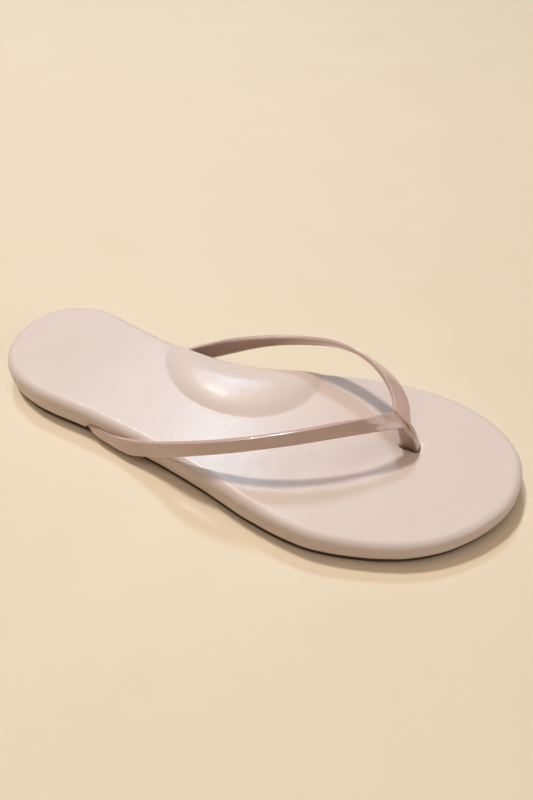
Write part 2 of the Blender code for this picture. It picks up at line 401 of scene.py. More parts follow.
@dataclass(frozen=True)
class WallProfile:
    """Cross-section of a slab's edge: rounds above and below, and a slightly bulging wall between them."""

    inset: float
    top_round: float
    bottom_round: float
    bulge: float
    round_steps: int
    wall_steps: int

    def levels(self) -> tuple[Array, Array, Array, Array]:
        """Steps up the edge, from the underside to the top.

        Returns:
            Depth in from the outline, drop from the top, rise from the underside and share of the way up.
        """
        turn = np.linspace(0.0, np.pi / 2, self.round_steps + 1)
        up = np.linspace(0.0, 1.0, self.wall_steps + 1)[1:-1]
        still = np.zeros_like(up)
        depth = np.concatenate(
            [
                self.bottom_round * (1 - np.sin(turn)),
                -self.bulge * np.sin(np.pi * up),
                self.top_round * (1 - np.sin(turn[::-1])),
            ]
        )
        drop = np.concatenate([turn * 0, still + self.top_round, self.top_round * (1 - np.cos(turn[::-1]))])
        rise = np.concatenate([self.bottom_round * (1 - np.cos(turn)), still + self.bottom_round, turn * 0])
        share = np.concatenate([turn * 0, up, turn * 0 + 1])
        return depth + self.inset, drop, rise, share

    def rings(self, plan: SolePlan, edge: Array, underside: Height, top: Height, dent: Array) -> Array:
        """Rings up the edge of a slab.

        Args:
            plan: Plan of the sole.
            edge: Outline ring.
            underside: Height of the underside.
            top: Height of the top.
            dent: Extra depth of each outline point at the foot of the wall.

        Returns:
            Points by level and place round the outline.
        """
        made = []
        for depth, drop, rise, share in zip(*self.levels()):
            pressed = dent * (1 - smooth_step(0.0, 1.0, np.full_like(dent, share)))
            at = plan.inset(edge, depth + pressed)
            low = underside(at) + rise + pressed * (1 - share)
            high = top(at) - drop
            made.append(np.column_stack([at, low + share * (high - low)]))
        return np.array(made)


@dataclass(frozen=True)
class Exit:
    """Place where a strap turns in under the footbed: X range on one side, and how far it presses in."""

    side: Side
    start: float
    end: float
    depth: float = 1.0
    fade: float = 2.0

    def press(self, edge: Array) -> Array:
        """Press on each outline point: the depth, fading out past either end.

        Args:
            edge: Outline ring.

        Returns:
            Extra depth of each point.
        """
        x = edge[:, 0]
        on_medial = np.arange(len(edge)) > len(edge) // 2
        here = on_medial if self.side is Side.MEDIAL else ~on_medial
        begun, ended = smooth_step(-self.fade, 0, x - self.start), smooth_step(-self.fade, 0, self.end - x)
        return here * self.depth * begun * ended


@dataclass(frozen=True)
class ArchPad:
    """Raised pad under the arch: half an ellipse in plan, flat on top, crisp to the heel, soft to the toe."""

    x: float = -9.4
    y: float = 27.9
    half_length: float = 39.5
    half_width: float = 35.1
    height: float = 5.0
    heel_power: float = 5.6
    toe_power: float = 5.0
    heel_fade: float = 1.15
    toe_fade: float = 1.25
    heel_part: float = -0.5
    toe_part: float = 0.7
    rim_share: float = 0.45
    rim_width: float = 14.0
    line_height: float = 0.2
    line_width: float = 0.035
    line_middle: float = -0.05
    line_reach: float = 0.5

    def rise(self, plan: Array, from_rim: Array) -> Array:
        """Height of the pad: one less a power of the elliptic radius, lowered towards the rim.

        A thin raised line runs along its foot, opposite the arch.

        Args:
            plan: Plan points.
            from_rim: Distance of each point from the sole's side.

        Returns:
            Height over the footbed's plain top.
        """
        forward = (plan[..., 0] - self.x) / self.half_length
        inward = np.minimum((plan[..., 1] - self.y) / self.half_width, 0)
        radius = np.hypot(forward, inward)
        to_toe = smooth_step(self.heel_part, self.toe_part, forward)
        power = self.heel_power + (self.toe_power - self.heel_power) * to_toe
        fade = self.heel_fade + (self.toe_fade - self.heel_fade) * to_toe
        swell = np.clip(1 - radius**power, 0, 1) ** fade
        share = self.rim_share + (1 - self.rim_share) * smooth_step(0.0, self.rim_width, from_rim)
        line = self.line_height * np.exp(-(((radius - 1 - self.line_width) / self.line_width) ** 2))
        spread = np.exp(-(((forward - self.line_middle) / self.line_reach) ** 2))
        return self.height * swell * share + line * spread


@dataclass(frozen=True)
class ToeSlot:
    """Slot punched in the footbed for the toe post, a rounded rectangle with a soft lip."""

    x: float = 78.2
    y: float = 11.7
    half_length: float = 4.5
    half_width: float = 2.75
    corner: float = 1.4
    depth: float = 6.0
    lip: float = 0.35
    lip_width: float = 1.3
    wall_foot: float = -0.55
    wall_top: float = 0.05

    def dip(self, plan: Array) -> Array:
        """Drop of the top: deep inside the slot, and a rounded lip outside it.

        Args:
            plan: Plan points.

        Returns:
            Depth below the plain top.
        """
        past = np.abs(plan - np.array([self.x, self.y])) - np.array([self.half_length, self.half_width]) + self.corner
        outside = np.linalg.norm(np.maximum(past, 0), axis=-1)
        away = outside + np.minimum(past.max(axis=-1), 0) - self.corner
        pit = self.depth * (1 - smooth_step(self.wall_foot, self.wall_top, away))
        return pit + self.lip * (1 - smooth_step(0.0, self.lip_width, away))


@dataclass(frozen=True)
class BedRow:
    """A section of the footbed: share of the length and thickness."""

    at: float
    thickness: float


@dataclass(frozen=True)
class Footbed:
    """Padded slab wrapped in leather, with an arch pad, a toe slot and dents where the straps turn under."""

    plan: SolePlan
    pad: ArchPad
    slot: ToeSlot
    exits: tuple[Exit, ...]
    finish: LeatherFinish
    floor: float = 4.0
    steps: int = 440
    across: int = 124
    under_across: int = 6
    slot_spread: float = 6.0
    slot_gain: float = 3.0
    slot_share: float = 0.6
    share_spread: float = 0.045
    share_gain: float = 4.0
    wall: WallProfile = WallProfile(
        inset=0.0, top_round=4.2, bottom_round=1.0, bulge=0.2, round_steps=9, wall_steps=9
    )
    wave: float = 0.1
    wave_pitch: float = 46.0
    waves: int = 7
    rows: tuple[BedRow, ...] = (
        BedRow(0.0, 12.8),
        BedRow(0.25, 12.8),
        BedRow(0.6, 12.25),
        BedRow(0.7, 11.1),
        BedRow(0.8, 9.65),
        BedRow(0.9, 9.05),
        BedRow(1.0, 9.4),
    )

    def underside(self, plan: Array) -> Array:
        """Height of the underside: the outsole's thickness and gap, and the toe spring."""
        return self.floor + self.plan.toe_lift(plan[..., 0])

    def crown(self, plan: Array) -> Array:
        """Height of the top: underside and thickness, raised by the arch pad and cut by the toe slot.

        Args:
            plan: Plan points.

        Returns:
            Height over the floor.
        """
        thickness = read(self.rows, "thickness", self.plan.share(plan[..., 0]))
        pad = self.pad.rise(plan, self.plan.from_rim(plan))
        return self.underside(plan) + thickness + pad - self.slot.dip(plan)

    def shares(self) -> Array:
        """Shares across the top, close together in line with the toe slot."""
        fine = np.linspace(0.0, 1.0, FINE_STEPS * self.across + 1)
        return crowded(fine, fine, self.across, self.slot_share, self.share_spread, self.share_gain)

    def build(self) -> bpy.types.Object:
        """Makes the slab: rings up the wall, and a top and underside ruled across.

        Returns:
            The footbed.
        """
        x = self.plan.stations(self.steps, self.slot.x, self.slot_spread, self.slot_gain)
        edge = self.plan.edge(x)
        dent = sum(way.press(edge) for way in self.exits)
        walked = np.cumsum(np.linalg.norm(np.diff(edge, axis=0, append=edge[:1]), axis=1))
        uneven = self.plan.inset(edge, self.wave * ripple(walked, self.wave_pitch, self.waves))
        rings = self.wall.rings(self.plan, uneven, self.underside, self.crown, dent)
        top = ruled(rings[-1], self.crown, self.shares())
        bottom = ruled(rings[0], self.underside, np.linspace(0.0, 1.0, self.under_across + 1))
        # The dents lift the wall's foot, so the underside takes its two borders from the lowest ring.
        bottom[:, 0], bottom[:, -1] = sides(rings[0])
        piece = make_piece("footbed_wrapped", [(rings, True), (top, False), (bottom, False)], {})
        piece.data.materials.append(self.finish.material())
        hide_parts("footbed")
        return piece


@dataclass(frozen=True)
class Tread:
    """Waved grooves moulded in the outsole's underside, inside a plain border."""

    pitch: float = 8.0
    groove: float = 0.42
    depth: float = 0.7
    wave: float = 3.0
    wave_pitch: float = 22.0
    softness: float = 0.14
    border: float = 6.5
    border_fade: float = 1.0

    def rise(self, plan: Array, from_rim: Array) -> Array:
        """Height of the grooves' floor: a soft-edged slot in each pitch along X, waved across Y.

        Args:
            plan: Plan points.
            from_rim: Distance of each point from the sole's side.

        Returns:
            Height over the walking face.
        """
        waved = plan[..., 0] + self.wave * np.sin(2 * np.pi * plan[..., 1] / self.wave_pitch)
        off_middle = np.abs((waved / self.pitch) % 1 - 0.5) * 2
        slot = 1 - smooth_step(self.groove - self.softness, self.groove + self.softness, off_middle)
        return self.depth * slot * smooth_step(self.border, self.border + self.border_fade, from_rim)


@dataclass(frozen=True)
class Outsole:
    """Thin rubber sheet under the footbed, a little inside its outline, with a waved tread."""

    plan: SolePlan
    tread: Tread
    finish: RubberFinish
    thickness: float = 3.7
    steps: int = 560
    across: int = 64
    over_across: int = 4
    wall: WallProfile = WallProfile(
        inset=0.9, top_round=0.5, bottom_round=0.6, bulge=0.0, round_steps=5, wall_steps=5
    )

    def walking_face(self, plan: Array) -> Array:
        """Height of the walking face: the toe spring and the tread's grooves."""
        return self.plan.toe_lift(plan[..., 0]) + self.tread.rise(plan, self.plan.from_rim(plan))

    def upper_face(self, plan: Array) -> Array:
        """Height of the upper face, which the footbed is stuck to."""
        return self.plan.toe_lift(plan[..., 0]) + self.thickness

    def build(self) -> bpy.types.Object:
        """Makes the sheet: rings up the edge, a grooved underside and a plain upper face.

        Returns:
            The outsole.
        """
        edge = self.plan.edge(self.plan.stations(self.steps))
        rings = self.wall.rings(self.plan, edge, self.walking_face, self.upper_face, np.zeros(len(edge)))
        under = ruled(rings[0], self.walking_face, np.linspace(0.0, 1.0, self.across + 1))
        over = ruled(rings[-1], self.upper_face, np.linspace(0.0, 1.0, self.over_across + 1))
        piece = make_piece("outsole_sheet", [(rings, True), (under, False), (over, False)], {})
        piece.data.materials.append(self.finish.material())
        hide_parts("outsole")
        return piece


@dataclass(frozen=True)
class StrapRow:
    """A section of a strap: its middle, lean inwards and mitre in degrees, and width."""

    x: float
    y: float
    z: float
    lean: float
    width: float
    mitre: float


@dataclass(frozen=True)
class PostRow:
    """A section of the toe post below the fold: its middle, half width and pitch in degrees."""

    x: float
    y: float
    z: float
    half_width: float
    pitch: float


@dataclass(frozen=True)
class BandProfile:
    """Section of a strap: a crowned patent face turned round both edges, and a lining set on its back."""

    half_thickness: float = 0.95
    edge_round: float = 0.45
    half_width: float = 3.9
    crown: float = 0.12
    lining_reach: float = 0.74
    lining_step: float = 0.1
    lining_edge: float = 0.03
    face_steps: int = 18
    round_steps: int = 7

    def outline(self) -> tuple[Array, Array, Array]:
        """Points round the section, anticlockwise from the right end of the patent face.

        Returns:
            Place across from -1 to 1, distance out from the middle surface, and a mask of the lining.
        """
        share = self.edge_round / self.half_width
        flat = self.half_thickness - self.edge_round
        face = np.linspace(1 - share, share - 1, self.face_steps + 1)
        turn = np.linspace(np.pi / 2, -np.pi / 2, 2 * self.round_steps)[1:-1]
        edge_over = 1 - share + share * np.cos(turn)
        edge_out = np.sign(np.sin(turn)) * flat + self.edge_round * np.sin(turn)
        lining = np.linspace(-self.lining_reach, self.lining_reach, self.face_steps + 1)
        foot = self.lining_reach + self.lining_edge
        back = np.concatenate([[share - 1, -foot], lining, [foot, 1 - share]])
        proud = np.concatenate([[0.0, 0.0], np.full(lining.size, self.lining_step), [0.0, 0.0]])
        over = np.concatenate([face, -edge_over, back, edge_over[::-1]])
        out = np.concatenate(
            [
                self.half_thickness + self.crown * (1 - (face / (1 - share)) ** 2),
                edge_out,
                -self.half_thickness - proud,
                edge_out[::-1],
            ]
        )
        mask = np.concatenate([face * 0, edge_over * 0, (proud > 0) * 1.0, edge_over * 0])
        return over, out, mask


@dataclass(frozen=True)
class Crease:
    """Soft trough in a strap's face: from one place to another, in millimetres before the fold and across."""

    start: tuple[float, float]
    end: tuple[float, float]
    width: float
    depth: float
    ridge: float = 0.5
    ridge_away: float = 1.6
    ridge_sharpness: float = 2.0

    def drop(self, before: Array, over: Array) -> Array:
        """Depth below the face: a bell curve across the crease's line, less a low ridge along each side.

        Args:
            before: Millimetres before the fold.
            over: Millimetres across the strap.

        Returns:
            Depth at each place, below nought on the ridges.
        """
        line = np.subtract(self.end, self.start)
        place = np.stack([before, over], axis=-1) - np.array(self.start)
        share = np.clip(place @ line / (line @ line), 0, 1)
        away = np.linalg.norm(place - share[..., None] * line, axis=-1) / self.width
        ridges = self.ridge * np.exp(-self.ridge_sharpness * (away - self.ridge_away) ** 2)
        return self.depth * (np.exp(-(away**2)) - ridges)


@dataclass(frozen=True)
class Strap:
    """One strap: up from under the footbed, over the foot, and folded down along a mitre into the toe post."""

    side: Side
    rows: tuple[StrapRow, ...]
    post: tuple[PostRow, ...]
    setback: float
    creases: tuple[Crease, ...]
    profile: BandProfile
    bend: float = 1.7
    half_gap: float = 1.02
    wrap_height: float = 7.0
    wrap_radius: float = 3.0
    fold_reach: float = 18.0
    post_length: float = 27.0
    stretch_points: tuple[int, ...] = (290, 61, 25, 54)
    fold_thinning: float = 0.4
    thinning_reach: float = 2.0
    nudge: float = 0.02

    def middles(self) -> Array:
        """Middle of each row."""
        return np.column_stack([column(self.rows, axis) for axis in "xyz"])

    def stations(self) -> Array:
        """Distance of each row along the chords of the table."""
        return chords(self.middles())

    def band(self, along: Array, across: Array) -> Array:
        """Middle surface up to the fold: a curve through the rows with a leaning, mitred line across it.

        Args:
            along: Distance along the strap.
            across: Place across, from -1 to 1.

        Returns:
            Points on the surface.
        """
        stations, points = self.stations(), self.middles()
        middle = through(stations, points, along)
        ahead, behind = (through(stations, points, along + step) for step in (self.nudge, -self.nudge))
        run = unit(ahead - behind)
        upright = unit(np.array([0.0, 0.0, 1.0]) - run * run[..., 2:])
        outward = -self.side.value * np.cross(run, upright)
        lean, width, mitre = (
            through(stations, column(self.rows, name), along)[..., None] for name in ("lean", "width", "mitre")
        )
        square = np.cos(np.radians(lean)) * upright - np.sin(np.radians(lean)) * outward
        flat = middle + across[..., None] * width / 2 * (square + np.tan(np.radians(mitre)) * run)
        return self.wrapped(flat, unit(outward * np.array([1.0, 1.0, 0.0])))

    def wrapped(self, flat: Array, outward: Array) -> Array:
        """Turns what lies below the wrap height round a bend and in under the footbed.

        Args:
            flat: Points of the band as if it ran straight down.
            outward: Level direction away from the footbed at each point.

        Returns:
            The bent points.
        """
        depth = np.clip(self.wrap_height - flat[..., 2], 0, None)
        turn = np.minimum(depth / self.wrap_radius, np.pi / 2)
        under = np.clip(depth - self.wrap_radius * np.pi / 2, 0, None)
        bent = flat - (self.wrap_radius * (1 - np.cos(turn)) + under)[..., None] * outward
        bent[..., 2] += depth - self.wrap_radius * np.sin(turn)
        return bent

    def fold_at(self) -> float:
        """Distance along the strap of the fold's corner."""
        return float(self.stations()[-1] - self.setback)

    def post_half(self, down: Array, across: Array) -> Array:
        """Middle surface below the fold: a curve from the fold's corner through the post's rows.

        Args:
            down: Distance below the corner.
            across: Place across, from -1 at the front edge to 1 at the rear.

        Returns:
            Points on the surface.
        """
        corner = self.band(np.full_like(across, self.fold_at()), across)
        knots = [corner]
        for row in self.post:
            pitch = np.radians(row.pitch)
            reach = across * row.half_width
            y = np.full_like(across, row.y + self.side.value * self.half_gap)
            knots.append(np.stack([row.x - reach * np.cos(pitch), y, row.z + reach * np.sin(pitch)], axis=-1))
        middles = np.array([knot.reshape(-1, 3).mean(axis=0) for knot in knots])
        stations = chords(middles)
        weights = through(stations, np.eye(len(knots)), np.minimum(down, stations[-1]))
        return sum(weights[..., [k]] * knot for k, knot in enumerate(knots))

    def surface(self, path: Array, across: Array) -> Array:
        """Middle surface of the whole strap: band, a quadratic bend round the fold's corner, then the post.

        Args:
            path: Distance along the whole strap.
            across: Place across, from -1 to 1.

        Returns:
            Points on the surface.
        """
        start, end = self.fold_at() - self.bend, self.fold_at() + self.bend
        before = self.band(np.minimum(path, start), across)
        after = self.post_half(np.maximum(path - self.fold_at(), self.bend), across)
        corner = self.band(np.full_like(path, self.fold_at()), across)
        turn = np.clip((path - start) / (end - start), 0, 1)[..., None]
        arc = (1 - turn) ** 2 * before + 2 * turn * (1 - turn) * corner + turn**2 * after
        place = path[..., None]
        return np.where(place <= start, before, np.where(place >= end, after, arc))

    def skin(self) -> tuple[Array, Array]:
        """Closed skin: the section's points set out from the middle surface along its normal.

        The lining side thins at the fold, and the creases dent the patent face.

        Returns:
            Grid of points along and round the strap, and the mask of the lining.
        """
        fold = self.fold_at()
        stops = (0.0, fold - self.fold_reach, fold - self.bend, fold + self.bend, fold + self.post_length)
        stretches = zip(stops, stops[1:], self.stretch_points)
        path = np.concatenate([[0.0]] + [np.linspace(start, end, points)[1:] for start, end, points in stretches])
        over, out, lining = self.profile.outline()
        along, across = np.meshgrid(path, over, indexing="ij")
        run = self.surface(along + self.nudge, across) - self.surface(along - self.nudge, across)
        rise = self.surface(along, across + self.nudge) - self.surface(along, across - self.nudge)
        normal = -self.side.value * unit(np.cross(run, rise))
        before_fold = fold - along
        thin = 1 - self.fold_thinning * np.exp(-((before_fold / self.thinning_reach) ** 2)) * (out < 0)
        dents = sum(crease.drop(before_fold, across * self.profile.half_width) for crease in self.creases)
        lift = out * thin - np.where(out > 0, dents * (1 - across**4), 0)
        skin = self.surface(along, across) + lift[..., None] * normal
        ends = [np.broadcast_to(row.mean(axis=0), row.shape)[None] for row in (skin[0], skin[-1])]
        closed = np.concatenate([ends[0], skin, ends[1]])
        return closed, np.broadcast_to(lining, closed.shape[:2])


@dataclass(frozen=True)
class StrapUpper:
    """The two straps, joined face to face in the toe post, as one piece."""

    straps: tuple[Strap, ...]
    finish: PatentFinish

    def build(self) -> bpy.types.Object:
        """Makes both straps and dresses them.

        Returns:
            The upper.
        """
        skins = [strap.skin() for strap in self.straps]
        grids = [(points, True) for points, _ in skins]
        lining = np.concatenate([mask.ravel() for _, mask in skins])
        piece = make_piece("strap_upper_patent", grids, {"lining": lining})
        piece.data.materials.append(self.finish.material())
        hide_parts("strap_upper")
        return piece


class NodeSheet:
    """Adds and joins the nodes of one tree."""

    def __init__(self, tree: bpy.types.NodeTree) -> None:
        """Takes a tree and empties it."""
        self.tree = tree
        tree.nodes.clear()

    def feed(self, socket: bpy.types.NodeSocket, value: object) -> None:
        """Joins a socket to another, or sets its own value.

        Args:
            socket: Input socket of a node.
            value: An output socket, or a plain value.
        """
        if isinstance(value, bpy.types.NodeSocket):
            self.tree.links.new(value, socket)
        else:
            socket.default_value = value

    def add(self, kind: str, inputs: Inputs, **settings: object) -> bpy.types.Node:
        """Adds a node.

        Args:
            kind: Blender's name of the node type.
            inputs: Socket names or numbers, with a value or a socket to join for each.
            settings: Properties of the node, set before its sockets are fed.

        Returns:
            The node.
        """
        node = self.tree.nodes.new(kind)
        for name, value in settings.items():
            setattr(node, name, value)
        for name, value in inputs.items():
            self.feed(node.inputs[name], value)
        return node

    def math(self, operation: str, first: object, second: object) -> bpy.types.NodeSocket:
        """Result of one sum on two values."""
        return self.add("ShaderNodeMath", {0: first, 1: second}, operation=operation).outputs[0]

    # The mix node has sockets of one name for each kind of data, so they are picked by number.
    def blend(self, share: object, first: object, second: object) -> bpy.types.NodeSocket:
        """Colour between two colours."""
        return self.add("ShaderNodeMix", {0: share, 6: first, 7: second}, data_type="RGBA").outputs[2]

    def between(self, share: object, first: object, second: object) -> bpy.types.NodeSocket:
        """Value between two values."""
        return self.add("ShaderNodeMix", {0: share, 2: first, 3: second}, data_type="FLOAT").outputs[0]


@dataclass(frozen=True)
class Cloud:
    """Two tones that drift into each other over a pitch in millimetres."""

    light: Colour
    dark: Colour
    pitch: float


@dataclass(frozen=True)
class Marks:
    """Roughness that drifts between two values over a pitch in millimetres."""

    smooth: float
    rough: float
    pitch: float


@dataclass(frozen=True)
class Relief:
    """Grain of a surface: pitch in millimetres, share of cells in it, strength, and depth in millimetres."""

    pitch: float
    cells: float
    strength: float
    depth: float


class Effects:
    """Node groups that more than one finish uses, each built once."""

    def __init__(self) -> None:
        """Builds the three groups."""
        self.grain = self.make_grain()
        self.cloud = self.make_cloud()
        self.handling = self.make_handling()

    @staticmethod
    def blank(
        name: str, takes: dict[str, Socket], gives: dict[str, Socket]
    ) -> tuple[NodeSheet, bpy.types.NodeOutputs, Inputs]:
        """Group with named sockets and no pattern yet. Each takes a place, and a pitch in millimetres.

        Args:
            name: Name of the group.
            takes: Input sockets besides the place and the pitch.
            gives: Output sockets.

        Returns:
            The group's sheet, what it is given, and the inputs that set a pattern to its place and pitch.
        """
        tree = bpy.data.node_groups.new(name, "ShaderNodeTree")
        for label, kind in {"Place": Socket.PLACE, "Pitch": Socket.VALUE, **takes}.items():
            tree.interface.new_socket(label, in_out="INPUT", socket_type=kind.value)
        for label, kind in gives.items():
            tree.interface.new_socket(label, in_out="OUTPUT", socket_type=kind.value)
        sheet = NodeSheet(tree)
        given = sheet.add("NodeGroupInput", {}).outputs
        scale = sheet.math("DIVIDE", 1 / MM, given["Pitch"])
        return sheet, given, {"Vector": given["Place"], "Scale": scale}

    def make_grain(self) -> bpy.types.NodeTree:
        """Pebbled grain: smooth cells mixed with finer noise.

        Returns:
            The group, which gives a height.
        """
        sheet, given, pattern = self.blank("pebbled_grain", {"Cells": Socket.VALUE}, {"Height": Socket.VALUE})
        cells = sheet.add("ShaderNodeTexVoronoi", {**pattern, "Smoothness": 0.6}, feature="SMOOTH_F1")
        noise = sheet.add("ShaderNodeTexNoise", {**pattern, "Detail": 3.0, "Roughness": 0.55})
        height = sheet.between(given["Cells"], noise.outputs[0], cells.outputs["Distance"])
        sheet.add("NodeGroupOutput", {"Height": height})
        return sheet.tree

    def make_cloud(self) -> bpy.types.NodeTree:
        """Cloudy tone: two colours mixed by soft noise.

        Returns:
            The group, which gives a colour.
        """
        takes = {"Light": Socket.COLOUR, "Dark": Socket.COLOUR}
        sheet, given, pattern = self.blank("cloudy_tone", takes, {"Color": Socket.COLOUR})
        noise = sheet.add("ShaderNodeTexNoise", {**pattern, "Detail": 4.0, "Roughness": 0.6})
        spread = sheet.add("ShaderNodeMapRange", {"Value": noise.outputs[0], "From Min": 0.2, "From Max": 0.8})
        sheet.add("NodeGroupOutput", {"Color": sheet.blend(spread.outputs[0], given["Light"], given["Dark"])})
        return sheet.tree

    def make_handling(self) -> bpy.types.NodeTree:
        """Handling marks: roughness that drifts between two values.

        Returns:
            The group, which gives a roughness.
        """
        takes = {"Smooth": Socket.VALUE, "Rough": Socket.VALUE}
        sheet, given, pattern = self.blank("handling_marks", takes, {"Roughness": Socket.VALUE})
        noise = sheet.add("ShaderNodeTexNoise", {**pattern, "Detail": 5.0})
        rough = sheet.between(noise.outputs[0], given["Smooth"], given["Rough"])
        sheet.add("NodeGroupOutput", {"Roughness": rough})
        return sheet.tree


class MaterialSheet(NodeSheet):
    """Tree of one material, with the shared effects set to the piece's own coordinates."""

    def __init__(self, name: str, effects: Effects) -> None:
        """Makes an empty material.

        Args:
            name: Name of the material.
            effects: The shared groups.
        """
        self.made = bpy.data.materials.new(name)
        self.made.use_nodes = True
        super().__init__(self.made.node_tree)
        self.effects = effects
        self.place = self.add("ShaderNodeTexCoord", {}).outputs["Object"]

    def placed(self, group: bpy.types.NodeTree, inputs: Inputs) -> bpy.types.NodeSocket:
        """Result of a shared group with its own values."""
        return self.add("ShaderNodeGroup", {"Place": self.place, **inputs}, node_tree=group).outputs[0]

    def colour(self, cloud: Cloud) -> bpy.types.NodeSocket:
        """Cloudy tone."""
        inputs = {"Pitch": cloud.pitch, "Light": cloud.light, "Dark": cloud.dark}
        return self.placed(self.effects.cloud, inputs)

    def roughness(self, marks: Marks) -> bpy.types.NodeSocket:
        """Roughness with handling marks."""
        inputs = {"Pitch": marks.pitch, "Smooth": marks.smooth, "Rough": marks.rough}
        return self.placed(self.effects.handling, inputs)

    def normal(self, *reliefs: Relief) -> bpy.types.NodeSocket:
        """Normal of a surface with reliefs laid over each other.

        Args:
            reliefs: The reliefs, broadest first.

        Returns:
            The normal.
        """
        under: Inputs = {}
        for relief in reliefs:
            height = self.placed(self.effects.grain, {"Pitch": relief.pitch, "Cells": relief.cells})
            raised = {"Strength": relief.strength, "Distance": relief.depth * MM, "Height": height}
            under = {"Normal": self.add("ShaderNodeBump", {**raised, **under}).outputs[0]}
        return under["Normal"]

    def shade(self, inputs: Inputs) -> bpy.types.Material:
        """Ends the tree with one Principled shader.

        Args:
            inputs: Values and sockets for the shader.

        Returns:
            The finished material.
        """
        shader = self.add("ShaderNodeBsdfPrincipled", inputs)
        self.add("ShaderNodeOutputMaterial", {"Surface": shader.outputs[0]})
        return self.made


@dataclass(frozen=True)
class LeatherFinish:
    """Satin synthetic leather: cloudy nude tone, fine pebbles over soft waves, and a thin even coat."""

    effects: Effects
    cloud: Cloud = Cloud(tone(231, 211, 200), tone(226, 205, 193), pitch=34.0)
    marks: Marks = Marks(smooth=0.3, rough=0.38, pitch=16.0)
    waves: Relief = Relief(pitch=12.0, cells=0.25, strength=0.9, depth=0.5)
    pebbles: Relief = Relief(pitch=0.8, cells=0.6, strength=0.45, depth=0.12)
    sheen: float = 0.36
    coat: float = 0.05
    coat_roughness: float = 0.2

    def material(self) -> bpy.types.Material:
        """Makes the leather."""
        sheet = MaterialSheet("footbed_leather", self.effects)
        return sheet.shade(
            {
                "Base Color": sheet.colour(self.cloud),
                "Roughness": sheet.roughness(self.marks),
                "Normal": sheet.normal(self.waves, self.pebbles),
                "Specular IOR Level": self.sheen,
                "Coat Weight": self.coat,
                "Coat Roughness": self.coat_roughness,
            }
        )


@dataclass(frozen=True)
class PatentFinish:
    """Patent strap: glossy coated face with a faint orange peel, and a satin lining on the back."""

    effects: Effects
    cloud: Cloud = Cloud(tone(214, 181, 168), tone(208, 174, 160), pitch=22.0)
    marks: Marks = Marks(smooth=0.16, rough=0.26, pitch=12.0)
    peel: Relief = Relief(pitch=1.5, cells=0.15, strength=0.9, depth=0.12)
    coat: float = 1.0
    coat_roughness: float = 0.06
    lining: Colour = tone(174, 141, 122)
    lining_roughness: float = 0.3
    lining_coat: float = 0.6

    def material(self) -> bpy.types.Material:
        """Makes the patent leather, with its lining where the piece's lining attribute is 1.

        Returns:
            The material.
        """
        sheet = MaterialSheet("strap_patent", self.effects)
        lined = sheet.add("ShaderNodeAttribute", {}, attribute_name="lining").outputs["Fac"]
        return sheet.shade(
            {
                "Base Color": sheet.blend(lined, sheet.colour(self.cloud), self.lining),
                "Roughness": sheet.between(lined, sheet.roughness(self.marks), self.lining_roughness),
                "Normal": sheet.normal(self.peel),
                "Coat Weight": sheet.between(lined, self.coat, self.lining_coat),
                "Coat Roughness": self.coat_roughness,
            }
        )


@dataclass(frozen=True)
class RubberFinish:
    """Dark brown moulded rubber: cloudy tone, dusty roughness and a fine sandy skin."""

    effects: Effects
    cloud: Cloud = Cloud(tone(74, 53, 38), tone(58, 40, 28), pitch=18.0)
    marks: Marks = Marks(smooth=0.55, rough=0.75, pitch=9.0)
    skin: Relief = Relief(pitch=0.45, cells=0.3, strength=0.3, depth=0.1)

    def material(self) -> bpy.types.Material:
        """Makes the rubber."""
        sheet = MaterialSheet("outsole_rubber", self.effects)
        return sheet.shade(
            {
                "Base Color": sheet.colour(self.cloud),
                "Roughness": sheet.roughness(self.marks),
                "Normal": sheet.normal(self.skin),
            }
        )


@dataclass(frozen=True)
class Lamp:
    """Soft studio lamp: direction to it, width in metres, power in watts, tint, and distance in metres."""

    name: str
    towards: tuple[float, float, float]
    width: float
    power: float
    tint: tuple[float, float, float]
    distance: float = 2.4


